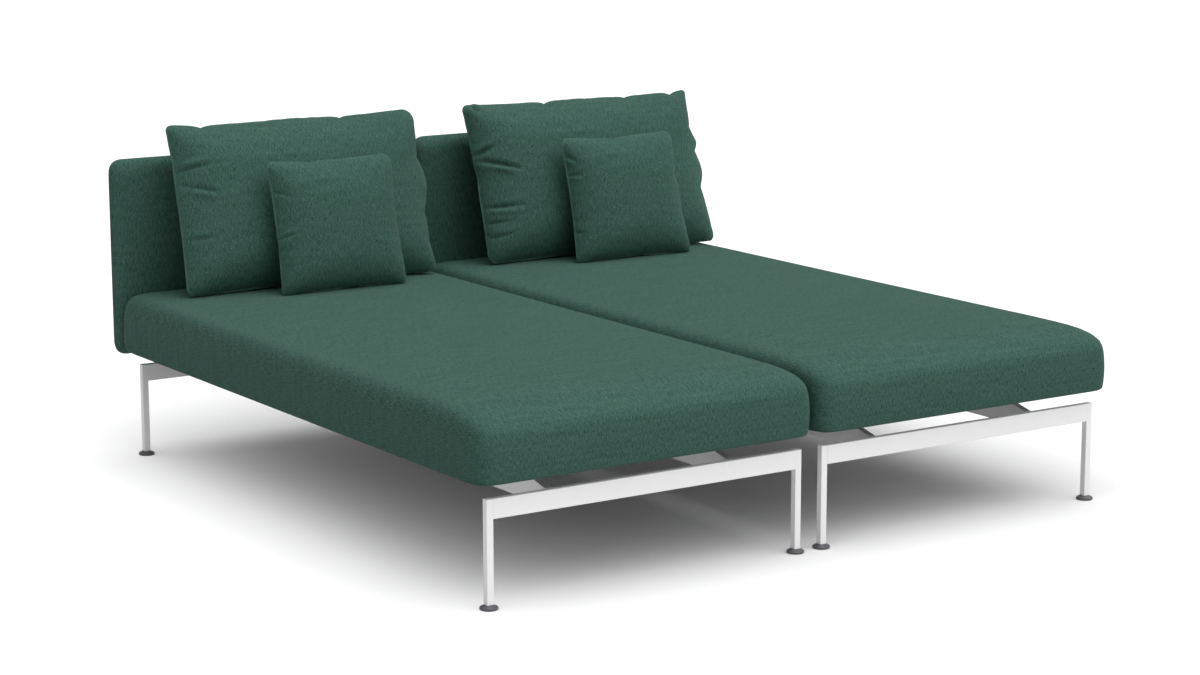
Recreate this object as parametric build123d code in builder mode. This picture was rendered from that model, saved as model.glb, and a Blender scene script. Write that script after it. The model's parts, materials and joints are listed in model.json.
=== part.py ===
from build123d import *
from math import cos, radians, sin
import os

# A double chaise lounger: two equal chaises side by side, in millimetres.
# X runs across, Y from the foot end to the backrest, Z up from the floor.

# Leg frames: square legs joined by a rail that is flush with their tops
frame_top = 220
leg_side = 15
rail_height = 40
tube_wall = 1.5
tube_corner = 1

# Lengthwise beams, tall tubes whose noses slope down to the rails
beam_width = 15
beam_inset = 153
beam_wall = 2
beam_height = 62
nose_height = 31
nose_run = 130

# Levelling glides: a threaded stud in an insert at each leg's end
pad_diameter = 37
pad_height = 9.7
pad_sole_diameter = 31
pad_neck_diameter = 19
pad_rim_height = 3.2
pad_dome_share = 0.62
pad_brow_share = 0.4
pad_socket_floor = 3
pad_clear = 0.3
stud_diameter = 8
stud_length = 36
stud_point = 1
insert_length = 20
run_clear = 0.05

# Seat deck, a drained panel on the beams
deck_thickness = 8
deck_side_inset = 50
deck_front_inset = 60
deck_back_inset = 30
deck_corner = 20
drain_diameter = 20
drain_pitch_x = 170
drain_pitch_y = 190
drain_rows = 7
drain_columns = 3

# Seat cushion
seat_width = 813
seat_gap = 12
seat_length = 1653
seat_thickness = 139
seat_front_overhang = 24
seat_back_overhang = 44
seat_side_overhang = 32.5
seat_middle_overhang = 20.5
seat_corner = 38
seat_crown = 6
seat_bulge = 2
hem_radius = 11
roll_height = 50
side_roll = 37
nose_roll = 165
back_roll = 33
crown_run = 110
crown_end_run = 24

# Backrest, a padded panel that stands behind the seat
back_thickness = 48
back_height = 471
back_bottom = 233
back_corner = 28
back_edge = 22
panel_thickness = 6
panel_side_inset = 60
panel_end_inset = 55
panel_corner = 20
post_width = 12
post_depth = 15
post_arm_height = 30
post_rise = 400
post_corner = 10

# Cushion cover with its wadding, round a foam core
cover_wall = 6

# Loose pillows, leaning back
pillow_width = 672
pillow_height = 405
pillow_thickness = 176
pillow_corner = 14
pillow_draw = 9
pillow_lean = 12
pillow_settle = 9
pillow_offset = 50
pillow_reach = 92
scatter_side = 335
scatter_thickness = 104
scatter_corner = 20
scatter_draw = 6
scatter_lean = 14
scatter_settle = 8
scatter_offset = 66
scatter_reach = 244.4

# Joining plates under the decks, and one size of countersunk screw
plate_thickness = 5
plate_width = 60
plate_lap = 45
plate_corner = 5
plate_end_share = 0.22
screw_diameter = 6
screw_head_diameter = 12
screw_head_angle = 90
screw_length = 12
screw_clear = 0.1
screw_edge = 20
soft_clear = 0.3
cut_over = 2

# Widths, heights and places that follow from the sizes above
frame_width = seat_width - seat_side_overhang - seat_middle_overhang
frame_gap = seat_gap + 2 * seat_middle_overhang
frame_depth = seat_length - seat_front_overhang - seat_back_overhang
leg_bottom = pad_height + pad_clear
rail_bottom = frame_top - rail_height
beam_top = rail_bottom + beam_height
deck_top = beam_top + deck_thickness
seat_bottom = deck_top + soft_clear
seat_top = seat_bottom + seat_thickness + seat_crown
total_depth = seat_bulge + seat_length + soft_clear + back_thickness
seat_front = seat_bulge - total_depth / 2
seat_back = seat_front + seat_length
back_front = seat_back + soft_clear
back_rear = back_front + back_thickness
frame_front = seat_front + seat_front_overhang
frame_back = frame_front + frame_depth
post_front = back_front + cover_wall + panel_thickness + cover_wall
post_back = post_front + post_depth
post_bottom = rail_bottom + (rail_height - post_arm_height) / 2
post_top = post_bottom + post_rise
beam_offset = frame_width / 2 - beam_inset - beam_width / 2
deck_half = seat_width / 2 - deck_side_inset
deck_front = seat_front + deck_front_inset
deck_back = seat_back - deck_back_inset
stud_bottom = pad_socket_floor + run_clear

# A pillow's sections from the seam to the crown: shares of its half thickness, its inset and its
# drawn-in sides, which swell outward nearer the crown
swell_share = (0, 0.3, 0.62, 0.84, 0.96, 1)
inset_share = (0, 0.05, 0.16, 0.33, 0.56, 0.82)
sag_share = (1, 0.8, 0.4, -0.3, -1.2, -2.3)
# What a round corner takes off its square corner, along each side, halfway round
nick_share = 1 - sin(radians(45))
# Turns of a rolled edge, in degrees from the side to the top
roll_turns = (0, 25, 50, 70, 84)

os.makedirs("parts", exist_ok=True)


def save(piece, node):
    piece.part.label = node
    export_step(piece.part, f"parts/{node}.step")


def make_leg(node, x, y):
    # Square tube, closed at its top and open below for the insert
    height = frame_top - leg_bottom
    bore = leg_side - 2 * tube_wall
    with BuildPart() as leg:
        with BuildSketch(Plane((x, y, leg_bottom))):
            RectangleRounded(leg_side, leg_side, tube_corner)
        extrude(amount=height)
        with BuildSketch(Plane((x, y, leg_bottom))):
            Rectangle(bore, bore)
        extrude(amount=height - tube_wall, mode=Mode.SUBTRACT)
    save(leg, node)


def make_rail(node, x, y):
    # Flat tube between two legs, its ends closed by them
    length = frame_width - 2 * leg_side
    start = (x - length / 2, y, frame_top - rail_height / 2)
    with BuildPart() as rail:
        with BuildSketch(Plane(start, x_dir=(0, 1, 0), z_dir=(1, 0, 0))):
            RectangleRounded(leg_side, rail_height, tube_corner)
            Rectangle(leg_side - 2 * tube_wall, rail_height - 2 * tube_wall, mode=Mode.SUBTRACT)
        extrude(amount=length)
    save(rail, node)


def make_beam(node, x, screws_y):
    # Tall tube between the rails, its top sloping down to them at both ends
    front = frame_front + leg_side
    back = frame_back - leg_side
    rise = beam_height - nose_height
    outline = [
        (front, rail_bottom),
        (back, rail_bottom),
        (back, rail_bottom + nose_height),
        (back - nose_run, beam_top),
        (front + nose_run, beam_top),
        (front, rail_bottom + nose_height),
    ]
    slope = rise / nose_run
    drop = beam_wall * (1 + slope ** 2) ** 0.5
    hollow = [
        (front - cut_over, rail_bottom + beam_wall),
        (back + cut_over, rail_bottom + beam_wall),
        (back + cut_over, rail_bottom + nose_height - drop - slope * cut_over),
        (back - nose_run, beam_top - drop),
        (front + nose_run, beam_top - drop),
        (front - cut_over, rail_bottom + nose_height - drop - slope * cut_over),
    ]
    with BuildPart() as beam:
        with BuildSketch(Plane((x - beam_width / 2, 0, 0), x_dir=(0, 1, 0), z_dir=(1, 0, 0))):
            with BuildLine():
                Polyline(*outline, close=True)
            make_face()
        extrude(amount=beam_width)
        with BuildSketch(Plane((x - beam_width / 2 + beam_wall, 0, 0), x_dir=(0, 1, 0), z_dir=(1, 0, 0))):
            with BuildLine():
                Polyline(*hollow, close=True)
            make_face()
        extrude(amount=beam_width - 2 * beam_wall, mode=Mode.SUBTRACT)
        with BuildSketch(Plane((0, 0, beam_top))):
            with Locations(*[(x, y) for y in screws_y]):
                Circle(screw_diameter / 2 + screw_clear)
        extrude(amount=-(drop + cut_over), mode=Mode.SUBTRACT)
    save(beam, node)


def make_inserts(node, places):
    # Threaded inserts that plug the legs' ends
    side = leg_side - 2 * tube_wall
    with BuildPart() as inserts:
        with BuildSketch(Plane((0, 0, leg_bottom))):
            with Locations(*places):
                Rectangle(side, side)
                Circle(stud_diameter / 2 + run_clear, mode=Mode.SUBTRACT)
        extrude(amount=insert_length)
    save(inserts, node)


def make_stud(node, x, y):
    with BuildPart() as stud:
        with BuildSketch(Plane((x, y, stud_bottom))):
            Circle(stud_diameter / 2)
        extrude(amount=stud_length)
        chamfer(stud.edges().group_by(Axis.Z)[-1], stud_point)
    save(stud, node)


def make_pad(node, x, y):
    # Domed pad turned on the stud's axis: sole, round rim, dome and neck
    sole = pad_sole_diameter / 2
    rim = pad_diameter / 2
    neck = pad_neck_diameter / 2
    bore = stud_diameter / 2 + run_clear
    middle = (rim + neck) / 2
    dome = pad_rim_height + pad_dome_share * (pad_height - pad_rim_height)
    brow = (-1, pad_brow_share)
    with BuildPart() as pad:
        with BuildSketch(Plane((x, y, 0), x_dir=(1, 0, 0), z_dir=(0, -1, 0))):
            with BuildLine():
                Line((0, 0), (sole, 0))
                Spline((sole, 0), (rim, pad_rim_height), tangents=[(1, 0), (0, 1)])
                Spline((rim, pad_rim_height), (middle, dome), (neck, pad_height), tangents=[(0, 1), brow])
                Line((neck, pad_height), (bore, pad_height))
                Line((bore, pad_height), (bore, pad_socket_floor))
                Line((bore, pad_socket_floor), (0, pad_socket_floor))
                Line((0, pad_socket_floor), (0, 0))
            make_face()
        revolve(axis=Axis((x, y, 0), (0, 0, 1)))
    save(pad, node)


def make_deck(node, x, beams_x, screws_y, plates_y, inner):
    # Drained panel, screwed down to the beams, with blind holes for the joining plates
    middle = (deck_front + deck_back) / 2
    with BuildPart() as deck:
        with BuildSketch(Plane((x, middle, beam_top))):
            RectangleRounded(2 * deck_half, deck_back - deck_front, deck_corner)
            with GridLocations(drain_pitch_x, drain_pitch_y, drain_columns, drain_rows):
                Circle(drain_diameter / 2, mode=Mode.SUBTRACT)
        extrude(amount=deck_thickness)
        with Locations(*[(bx, y, deck_top) for bx in beams_x for y in screws_y]):
            CounterSinkHole(
                screw_diameter / 2 + screw_clear,
                screw_head_diameter / 2 + screw_clear,
                depth=deck_thickness,
                counter_sink_angle=screw_head_angle,
            )
        with BuildSketch(Plane((0, 0, beam_top))):
            with Locations(*[(inner, y) for y in plates_y]):
                Circle(screw_diameter / 2 + screw_clear)
        extrude(amount=screw_length - plate_thickness + screw_clear, mode=Mode.SUBTRACT)
    save(deck, node)


def make_post(node, x, screws_z):
    # Cranked flat bar: an arm behind the back rail, then an upright inside the backrest
    outline = [
        (frame_back, post_bottom),
        (post_back, post_bottom),
        (post_back, post_top),
        (post_front, post_top),
        (post_front, post_bottom + post_arm_height),
        (frame_back, post_bottom + post_arm_height),
    ]
    with BuildPart() as post:
        with BuildSketch(Plane((x - post_width / 2, 0, 0), x_dir=(0, 1, 0), z_dir=(1, 0, 0))):
            with BuildLine():
                Polyline(*outline, close=True)
            make_face()
        extrude(amount=post_width)
        outer = post.edges().filter_by(Axis.X).group_by(Axis.Z)[0].sort_by(Axis.Y)[-1]
        fillet(outer, post_corner)
        with Locations(*[Plane((x, post_front, z), z_dir=(0, -1, 0)).location for z in screws_z]):
            Hole(screw_diameter / 2 + screw_clear, depth=screw_length - panel_thickness + screw_clear)
    save(post, node)


def make_panel(node, x, posts_x, screws_z):
    # Board inside the backrest, in front of the posts
    bottom = back_bottom + panel_end_inset
    top = back_bottom + back_height - panel_end_inset
    width = seat_width - 2 * panel_side_inset
    with BuildPart() as panel:
        with BuildSketch(Plane((x, post_front, (bottom + top) / 2), x_dir=(1, 0, 0), z_dir=(0, -1, 0))):
            RectangleRounded(width, top - bottom, panel_corner)
        extrude(amount=panel_thickness)
        face = post_front - panel_thickness
        with Locations(*[Plane((px, face, z), z_dir=(0, -1, 0)).location for px in posts_x for z in screws_z]):
            CounterSinkHole(
                screw_diameter / 2 + screw_clear,
                screw_head_diameter / 2 + screw_clear,
                depth=panel_thickness,
                counter_sink_angle=screw_head_angle,
            )
    save(panel, node)


def seat_levels(skin):
    # Level sections of the seat, from its hem up a rolled edge to a low crown; skin draws it smaller
    bottom = seat_bottom + skin
    shoulder = seat_bottom + seat_thickness - skin
    hem = hem_radius - skin / 2
    roll = roll_height - skin
    bevel = hem * nick_share
    drawn = [
        (bottom, hem, hem, hem),
        (bottom + bevel, bevel, bevel, bevel),
        (bottom + hem, 0, 0, 0),
        ((bottom + shoulder) / 2, -seat_bulge, -seat_bulge, 0),
    ]
    for angle in roll_turns:
        share = 1 - cos(radians(angle))
        height = shoulder - roll * (1 - sin(radians(angle)))
        drawn.append((height, side_roll * share, nose_roll * share, back_roll * share))
    drawn.append((shoulder + seat_crown, side_roll + crown_run, nose_roll + crown_run, back_roll + crown_end_run))
    levels = []
    for height, side_in, nose_in, back_in in drawn:
        width = seat_width - 2 * (skin + side_in)
        length = seat_length - 2 * skin - nose_in - back_in
        middle = (seat_front + nose_in + seat_back - back_in) / 2
        levels.append((height, middle, width, length, seat_corner + max(side_in, 0) / 3))
    return levels


def make_seat(node, x, skins):
    # Cushion form; a second skin hollows it for the foam
    with BuildPart() as seat:
        for skin, mode in skins:
            for height, y, width, length, corner in seat_levels(skin):
                with BuildSketch(Plane((x, y, height))):
                    RectangleRounded(width, length, corner)
            loft(ruled=True, mode=mode)
    save(seat, node)


def make_back(node, x, posts_x, skins, panel_slot):
    # Upright slab with well rounded edges, open below for the posts
    middle = back_bottom + back_height / 2
    panel_width = seat_width - 2 * panel_side_inset
    panel_height = back_height - 2 * panel_end_inset
    slabs = []
    for skin, mode in skins:
        with BuildPart() as slab:
            with BuildSketch(Plane((x, back_front + skin, middle), x_dir=(1, 0, 0), z_dir=(0, 1, 0))):
                RectangleRounded(seat_width - 2 * skin, back_height - 2 * skin, back_corner - skin)
            extrude(amount=back_thickness - 2 * skin)
            fillet(slab.faces().filter_by(Axis.Y).edges(), back_edge - skin)
        slabs.append((slab.part, mode))
    with BuildPart() as back:
        for slab, mode in slabs:
            add(slab, mode=mode)
        if panel_slot:
            with BuildSketch(Plane((x, post_front, middle), x_dir=(1, 0, 0), z_dir=(0, -1, 0))):
                RectangleRounded(panel_width, panel_height, panel_corner)
            extrude(amount=panel_thickness, mode=Mode.SUBTRACT)
        with BuildSketch(Plane((0, (post_front + post_back) / 2, back_bottom - cut_over))):
            with Locations(*[(px, 0) for px in posts_x]):
                Rectangle(post_width, post_depth)
        extrude(amount=post_top - back_bottom + cut_over, mode=Mode.SUBTRACT)
    save(back, node)


def make_pillow(node, x, reach, size, thickness, corner, draw, lean, settle):
    # Crowned pillow on its edge, leaning back, flat where it sits and where it meets the backrest
    width, height = size
    tilt = radians(lean)
    lift = (height / 2 - settle) * cos(tilt)
    middle = Plane(
        (x, back_front - reach, seat_top + soft_clear + lift),
        x_dir=(1, 0, 0),
        z_dir=(0, -cos(tilt), sin(tilt)),
    )
    shortest = min(width, height) / 2
    with BuildPart() as pillow:
        for way in (1, -1):
            for swell, inset, sagging in zip(swell_share, inset_share, sag_share):
                a = width / 2 - inset * shortest
                b = height / 2 - inset * shortest
                r = corner * (1 - inset) + min(a, b) * inset / 2
                nick = r * nick_share
                sag = draw * sagging
                with BuildSketch(middle.offset(way * swell * thickness / 2)):
                    with BuildLine():
                        ThreePointArc((r - a, b), (0, b - sag), (a - r, b))
                        ThreePointArc((a - r, b), (a - nick, b - nick), (a, b - r))
                        ThreePointArc((a, b - r), (a - sag, 0), (a, r - b))
                        ThreePointArc((a, r - b), (a - nick, nick - b), (a - r, -b))
                        ThreePointArc((a - r, -b), (0, sag - b), (r - a, -b))
                        ThreePointArc((r - a, -b), (nick - a, nick - b), (-a, r - b))
                        ThreePointArc((-a, r - b), (sag - a, 0), (-a, b - r))
                        ThreePointArc((-a, b - r), (nick - a, b - nick), (r - a, b))
                    make_face()
            loft(ruled=True)
        split(bisect_by=Plane.XY.offset(seat_top + soft_clear), keep=Keep.TOP)
        split(bisect_by=Plane((0, back_front - soft_clear, 0), z_dir=(0, -1, 0)), keep=Keep.TOP)
    save(pillow, node)


def make_plate(node, y, inner):
    # Flat bar under both decks, countersunk from below
    with BuildPart() as plate:
        with BuildSketch(Plane((0, y, beam_top - plate_thickness))):
            RectangleRounded(2 * (inner + screw_edge), plate_width, plate_corner)
        extrude(amount=plate_thickness)
        low = beam_top - plate_thickness
        with Locations(*[Plane((px, y, low), z_dir=(0, 0, -1)).location for px in (-inner, inner)]):
            CounterSinkHole(
                screw_diameter / 2 + screw_clear,
                screw_head_diameter / 2 + screw_clear,
                depth=plate_thickness,
                counter_sink_angle=screw_head_angle,
            )
    save(plate, node)


def make_screws(node, places):
    # Countersunk screws, each with its head flush with the face that it holds
    shank = screw_diameter / 2
    head = screw_head_diameter / 2
    with BuildPart() as screw:
        with BuildSketch(Plane.XZ):
            with BuildLine():
                Polyline(
                    (0, 0),
                    (head, 0),
                    (shank, shank - head),
                    (shank, -screw_length),
                    (0, -screw_length),
                    close=True,
                )
            make_face()
        revolve(axis=Axis.Z)
    with BuildPart() as screws:
        with Locations(*places):
            add(screw.part)
    save(screws, node)


deck_gap_half = seat_gap / 2 + deck_side_inset
plate_inner = deck_gap_half + plate_lap - screw_edge
deck_length = deck_back - deck_front
plates_y = [deck_front + share * deck_length for share in (plate_end_share, 1 - plate_end_share)]
screws_y = [
    frame_front + leg_side + nose_run + screw_edge,
    (frame_front + frame_back) / 2,
    frame_back - leg_side - nose_run - screw_edge,
]
panel_bottom = back_bottom + panel_end_inset
screws_z = [panel_bottom + screw_edge, post_top - screw_edge]

# A foam core fills its cover, which is one wall thick all round
core = ((cover_wall, Mode.ADD),)
shell = ((0, Mode.ADD), (cover_wall, Mode.SUBTRACT))

for unit, side in (("left_chaise", -1), ("right_chaise", 1)):
    frame_x = side * (frame_width + frame_gap) / 2
    seat_x = side * (seat_width + seat_gap) / 2
    beams_x = [frame_x - beam_offset, frame_x + beam_offset]
    legs = {}
    for end, y in (("front", frame_front + leg_side / 2), ("back", frame_back - leg_side / 2)):
        for hand, across in (("left", -1), ("right", 1)):
            legs[f"{end}_{hand}"] = (frame_x + across * (frame_width - leg_side) / 2, y)
        make_rail(f"{unit}_{end}_rail", frame_x, y)
    for corner, (x, y) in legs.items():
        make_leg(f"{unit}_{corner}_leg", x, y)
        make_stud(f"{unit}_{corner}_glide_stud", x, y)
        make_pad(f"{unit}_{corner}_glide_pad", x, y)
    make_inserts(f"{unit}_leg_inserts", list(legs.values()))
    for hand, x in zip(("left", "right"), beams_x):
        make_beam(f"{unit}_{hand}_beam", x, screws_y)
        make_post(f"{unit}_{hand}_back_post", x, screws_z)
    make_deck(f"{unit}_seat_deck", seat_x, beams_x, screws_y, plates_y, side * plate_inner)
    make_panel(f"{unit}_back_panel", seat_x, beams_x, screws_z)
    make_seat(f"{unit}_seat_foam", seat_x, core)
    make_seat(f"{unit}_seat_cover", seat_x, shell)
    make_back(f"{unit}_back_foam", seat_x, beams_x, core, True)
    make_back(f"{unit}_back_cover", seat_x, beams_x, shell, False)
    make_pillow(
        f"{unit}_back_pillow",
        seat_x + pillow_offset,
        pillow_reach,
        (pillow_width, pillow_height),
        pillow_thickness,
        pillow_corner,
        pillow_draw,
        pillow_lean,
        pillow_settle,
    )
    make_pillow(
        f"{unit}_scatter_pillow",
        seat_x + scatter_offset,
        scatter_reach,
        (scatter_side, scatter_side),
        scatter_thickness,
        scatter_corner,
        scatter_draw,
        scatter_lean,
        scatter_settle,
    )
    panel_face = post_front - panel_thickness
    places = [Plane((x, y, deck_top)).location for x in beams_x for y in screws_y]
    places += [Plane((x, panel_face, z), z_dir=(0, -1, 0)).location for x in beams_x for z in screws_z]
    low = beam_top - plate_thickness
    places += [Plane((side * plate_inner, y, low), z_dir=(0, 0, -1)).location for y in plates_y]
    make_screws(f"{unit}_screws", places)

for end, y in zip(("front", "back"), plates_y):
    make_plate(f"{end}_joining_plate", y, plate_inner)
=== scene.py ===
import json
import math

import bpy
import numpy as np
from mathutils import Matrix, Vector


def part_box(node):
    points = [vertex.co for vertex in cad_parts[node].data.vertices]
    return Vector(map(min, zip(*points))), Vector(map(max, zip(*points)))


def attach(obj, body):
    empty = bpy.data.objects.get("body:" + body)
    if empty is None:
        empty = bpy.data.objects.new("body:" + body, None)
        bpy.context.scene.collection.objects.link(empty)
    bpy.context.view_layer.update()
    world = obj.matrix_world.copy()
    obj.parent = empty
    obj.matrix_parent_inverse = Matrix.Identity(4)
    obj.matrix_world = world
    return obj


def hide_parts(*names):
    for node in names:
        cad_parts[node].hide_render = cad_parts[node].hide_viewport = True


# A double chaise lounger, dressed: two chaises side by side, metres, Z up from the floor.

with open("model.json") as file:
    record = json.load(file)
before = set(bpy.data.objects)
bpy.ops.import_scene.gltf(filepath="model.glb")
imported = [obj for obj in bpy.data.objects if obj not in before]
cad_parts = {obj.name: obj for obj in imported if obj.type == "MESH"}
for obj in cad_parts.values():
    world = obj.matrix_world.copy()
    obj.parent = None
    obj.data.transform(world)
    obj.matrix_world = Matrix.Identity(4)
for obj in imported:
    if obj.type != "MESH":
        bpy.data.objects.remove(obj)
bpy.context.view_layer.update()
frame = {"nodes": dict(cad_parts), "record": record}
chaises = {"left": "left_chaise", "right": "right_chaise"}
tiny = 1e-9
quarterTurn = math.pi / 2
print("frame loaded:", len(frame["nodes"]), "nodes")


# Meshes

def cadBox(node):
    # The low and high corner of a CAD node's box
    low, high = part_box(node)
    return np.array(low), np.array(high)


def makePiece(name, points, quads, clothUv=None):
    # A smooth mesh from point and quad arrays; clothUv holds a place on the cloth, in metres, for each
    # quad's corners
    mesh = bpy.data.meshes.new(name)
    mesh.vertices.add(len(points))
    mesh.vertices.foreach_set("co", np.asarray(points, np.float32).ravel())
    mesh.loops.add(quads.size)
    mesh.loops.foreach_set("vertex_index", quads.astype(np.int32).ravel())
    mesh.polygons.add(len(quads))
    mesh.polygons.foreach_set("loop_start", np.arange(0, quads.size, 4, dtype=np.int32))
    mesh.update(calc_edges=True)
    mesh.shade_smooth()
    if clothUv is not None:
        layer = mesh.uv_layers.new(name="cloth")
        layer.uv.foreach_set("vector", np.asarray(clothUv, np.float32).ravel())
    mesh.validate()
    piece = bpy.data.objects.new(name, mesh)
    bpy.context.scene.collection.objects.link(piece)
    return piece


def readPoints(mesh):
    # The mesh's points, a row of x, y and z for each
    points = np.zeros(len(mesh.vertices) * 3, np.float32)
    mesh.vertices.foreach_get("co", points)
    return points.reshape(-1, 3).astype(float)


def readNormals(mesh):
    # The normals at the mesh's points, in the same rows
    normals = np.zeros(len(mesh.vertices) * 3, np.float32)
    mesh.vertex_normals.foreach_get("vector", normals)
    return normals.reshape(-1, 3).astype(float)


def writePoints(mesh, points):
    # New places for the mesh's points, in the same rows
    mesh.vertices.foreach_set("co", np.asarray(points, np.float32).ravel())
    mesh.update()


def bakeModifiers(piece):
    # The piece's mesh becomes the one that its modifiers make
    graph = bpy.context.evaluated_depsgraph_get()
    made = bpy.data.meshes.new_from_object(
        piece.evaluated_get(graph), preserve_all_data_layers=True, depsgraph=graph
    )
    piece.modifiers.clear()
    piece.data = made
    made.shade_smooth()


def subdivide(piece):
    # One level of subdivision, kept in the piece's mesh
    smooth = piece.modifiers.new("smooth", "SUBSURF")
    smooth.levels = smooth.render_levels = 1
    bpy.context.view_layer.update()
    bakeModifiers(piece)


def gridQuads(across, along):
    # Corner numbers of an across x along grid's quads, counter-clockwise
    i, j = np.meshgrid(np.arange(across), np.arange(along), indexing="ij")
    a = i * (along + 1) + j
    return np.stack([a, a + along + 1, a + along + 2, a + 1], -1).reshape(-1, 4)


def boxLattice(cells):
    # Whole-number points on a box's six faces, welded along the edges; each quad knows its face
    points, quads, sides = [], [], []
    count = 0
    for axis in range(3):
        u, v = (axis + 1) % 3, (axis + 2) % 3
        i, j = np.meshgrid(np.arange(cells[u] + 1), np.arange(cells[v] + 1), indexing="ij")
        for level in (0, cells[axis]):
            place = np.zeros(i.shape + (3,), int)
            place[..., u], place[..., v], place[..., axis] = i, j, level
            corners = gridQuads(cells[u], cells[v]) + count
            points.append(place.reshape(-1, 3))
            quads.append(corners if level else corners[:, ::-1])
            sides.append(np.full(len(corners), 2 * axis + (1 if level else 0)))
            count += i.size
    welded, number = np.unique(np.concatenate(points), axis=0, return_inverse=True)
    return welded, number.reshape(-1)[np.concatenate(quads)], np.concatenate(sides)


def roundedCorners(edge, halves, radius):
    # A rectangle's edge places with its corners turned on a circle: place = core + radius * direction,
    # where the core is the rectangle drawn in by the radius
    target = edge * halves
    core = np.clip(target, -(halves - radius), halves - radius)
    reach = target - core
    length = np.linalg.norm(reach, axis=1, keepdims=True)
    return np.where(length > tiny, core + reach / np.maximum(length, tiny) * radius, target)


def rolledForm(lattice, cells, form):
    # Rounded rectangles stacked along a profile: a ring's share runs from 0 at the middle of the bottom
    # or top to 1 at its edge. The edge rolls are quarter superellipses: inset = roll * (1 - cos(t) ** full)
    # and height = rollHeight * sin(t) ** full, with t from 0 to a quarter turn. Inside them the crown is
    # crown * (1 - middle ** crownPower), middle being the ring's share of the part inside the roll.
    share = lattice / np.array(cells) * 2 - 1
    ring = np.abs(share[:, :2]).max(1)
    onTop, onBottom = lattice[:, 2] == cells[2], lattice[:, 2] == 0
    edge = share[:, :2] / np.maximum(ring, tiny)[:, None]
    low, high = form["low"], form["high"]
    half = np.array([high[0] - low[0]] * 2 + [high[1] - low[1]] * 2) / 2
    rolls = np.array(form["rolls"])  # left, right, nose, back
    height = np.interp(share[:, 2], (-1, 1), (low[2] + form["hem"], high[2] - form["rollHeight"]))
    inset = np.zeros((len(share), 4))
    swell = np.sin(np.clip((share[:, 2] + 1) / 2, 0, 1) * math.pi) * form["swell"]
    inset -= np.array(form["swells"]) * swell[:, None]
    inside = 1 - form["rollShare"]
    turn = np.clip((1 - ring) / form["rollShare"], 0, 1) * quarterTurn
    flatFrom = quarterTurn - tiny
    middle = np.clip(ring / inside, 0, 1)
    for part, rollIn, rollUp, base, sign, crown in (
        (onTop, rolls, form["rollHeight"], high[2] - form["rollHeight"], 1, form["crown"]),
        (onBottom, np.full(4, form["hem"]), form["hem"], low[2] + form["hem"], -1, 0.0),
    ):
        t, mid = turn[part], middle[part]
        lift = np.clip(np.sin(t), 0, 1) ** form["full"]
        domed = crown * (1 - mid ** form["crownPower"]) * (t >= flatFrom)
        height[part] = base + sign * rollUp * lift + domed
        rolled = rollIn * (1 - np.clip(np.cos(t), 0, 1) ** form["full"])[:, None]
        flat = rollIn + (half - rollIn) * (1 - mid)[:, None]
        inset[part] = np.where((t < flatFrom)[:, None], rolled, flat)
    left, right = low[0] + inset[:, 0], high[0] - inset[:, 1]
    nose, back = low[1] + inset[:, 2], high[1] - inset[:, 3]
    halves = np.stack([(right - left) / 2, (back - nose) / 2], 1)
    centre = np.stack([(right + left) / 2, (back + nose) / 2], 1)
    radius = form["corner"] + np.clip(inset[:, :1], 0, None) / form["cornerSpread"]
    plan = roundedCorners(edge, halves, np.minimum(radius, halves.min(1, keepdims=True)))
    return np.column_stack([centre + plan, height])


def unfoldedUv(lattice, cells, quads, sides, form):
    # The cloth lies flat on the top, u = x and v = y, and folds down each side, where the drop below the
    # top is added outwards, so that its threads run on over the edges
    size = np.array(form["high"]) - np.array(form["low"])
    place = (lattice / np.array(cells) - 0.5) * size
    corner = place[quads]
    drop = size[2] / 2 - corner[..., 2]
    u, v = corner[..., 0].copy(), corner[..., 1].copy()
    for side, across, sign in ((0, u, -1), (1, u, 1), (2, v, -1), (3, v, 1)):
        here = sides == side
        across[here] += sign * drop[here]
    underside = 4
    u[sides == underside] += 2 * size[0]
    return np.stack([u, v], -1)


# Cloth simulation

padding = {
    "pressure": 4.0,
    "frames": 20,
    "quality": 4,
    "mass": 0.3,
    "stiffness": 15.0,
    "shear": 5.0,
    "bending": 0.6,
}
swelling = []


def addCloth(piece, cap, pinned=None, slack=0.0):
    # The piece swells under inner pressure; no point may move further than cap
    cloth = piece.modifiers.new("padding", "CLOTH")
    settings = cloth.settings
    settings.quality = padding["quality"]
    settings.mass = padding["mass"]
    settings.tension_stiffness = settings.compression_stiffness = padding["stiffness"]
    settings.shear_stiffness = padding["shear"]
    settings.bending_stiffness = padding["bending"]
    settings.use_pressure = True
    settings.uniform_pressure_force = padding["pressure"]
    settings.shrink_min = -slack
    settings.effector_weights.gravity = 0
    cloth.collision_settings.use_collision = False
    cloth.collision_settings.use_self_collision = False
    if pinned is not None:
        group = piece.vertex_groups.new(name="held")
        group.add([int(n) for n in np.flatnonzero(pinned)], 1.0, "REPLACE")
        settings.vertex_group_mass = "held"
        settings.pin_stiffness = 1.0
    swelling.append({"piece": piece, "cap": cap, "rest": readPoints(piece.data)})


def runCloth():
    # All pieces swell together. Each piece's paths from its rest places are scaled by cap / longest, and
    # by no more than 1.
    scene = bpy.context.scene
    for number in range(1, padding["frames"] + 1):
        scene.frame_set(number)
    graph = bpy.context.evaluated_depsgraph_get()
    for entry in swelling:
        entry["swollen"] = readPoints(entry["piece"].evaluated_get(graph).data)
    for entry in swelling:
        piece = entry["piece"]
        piece.modifiers.clear()
        piece.vertex_groups.clear()
        if "swollen" in entry:
            path = entry["swollen"] - entry["rest"]
            longest = float(np.linalg.norm(path, axis=1).max())
            print("  ", piece.name, "swells by up to", round(longest * 1000, 1), "mm")
            writePoints(piece.data, entry["rest"] + path * min(1, entry["cap"] / longest))
    scene.frame_set(1)


# Seat cushions and backrests

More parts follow.
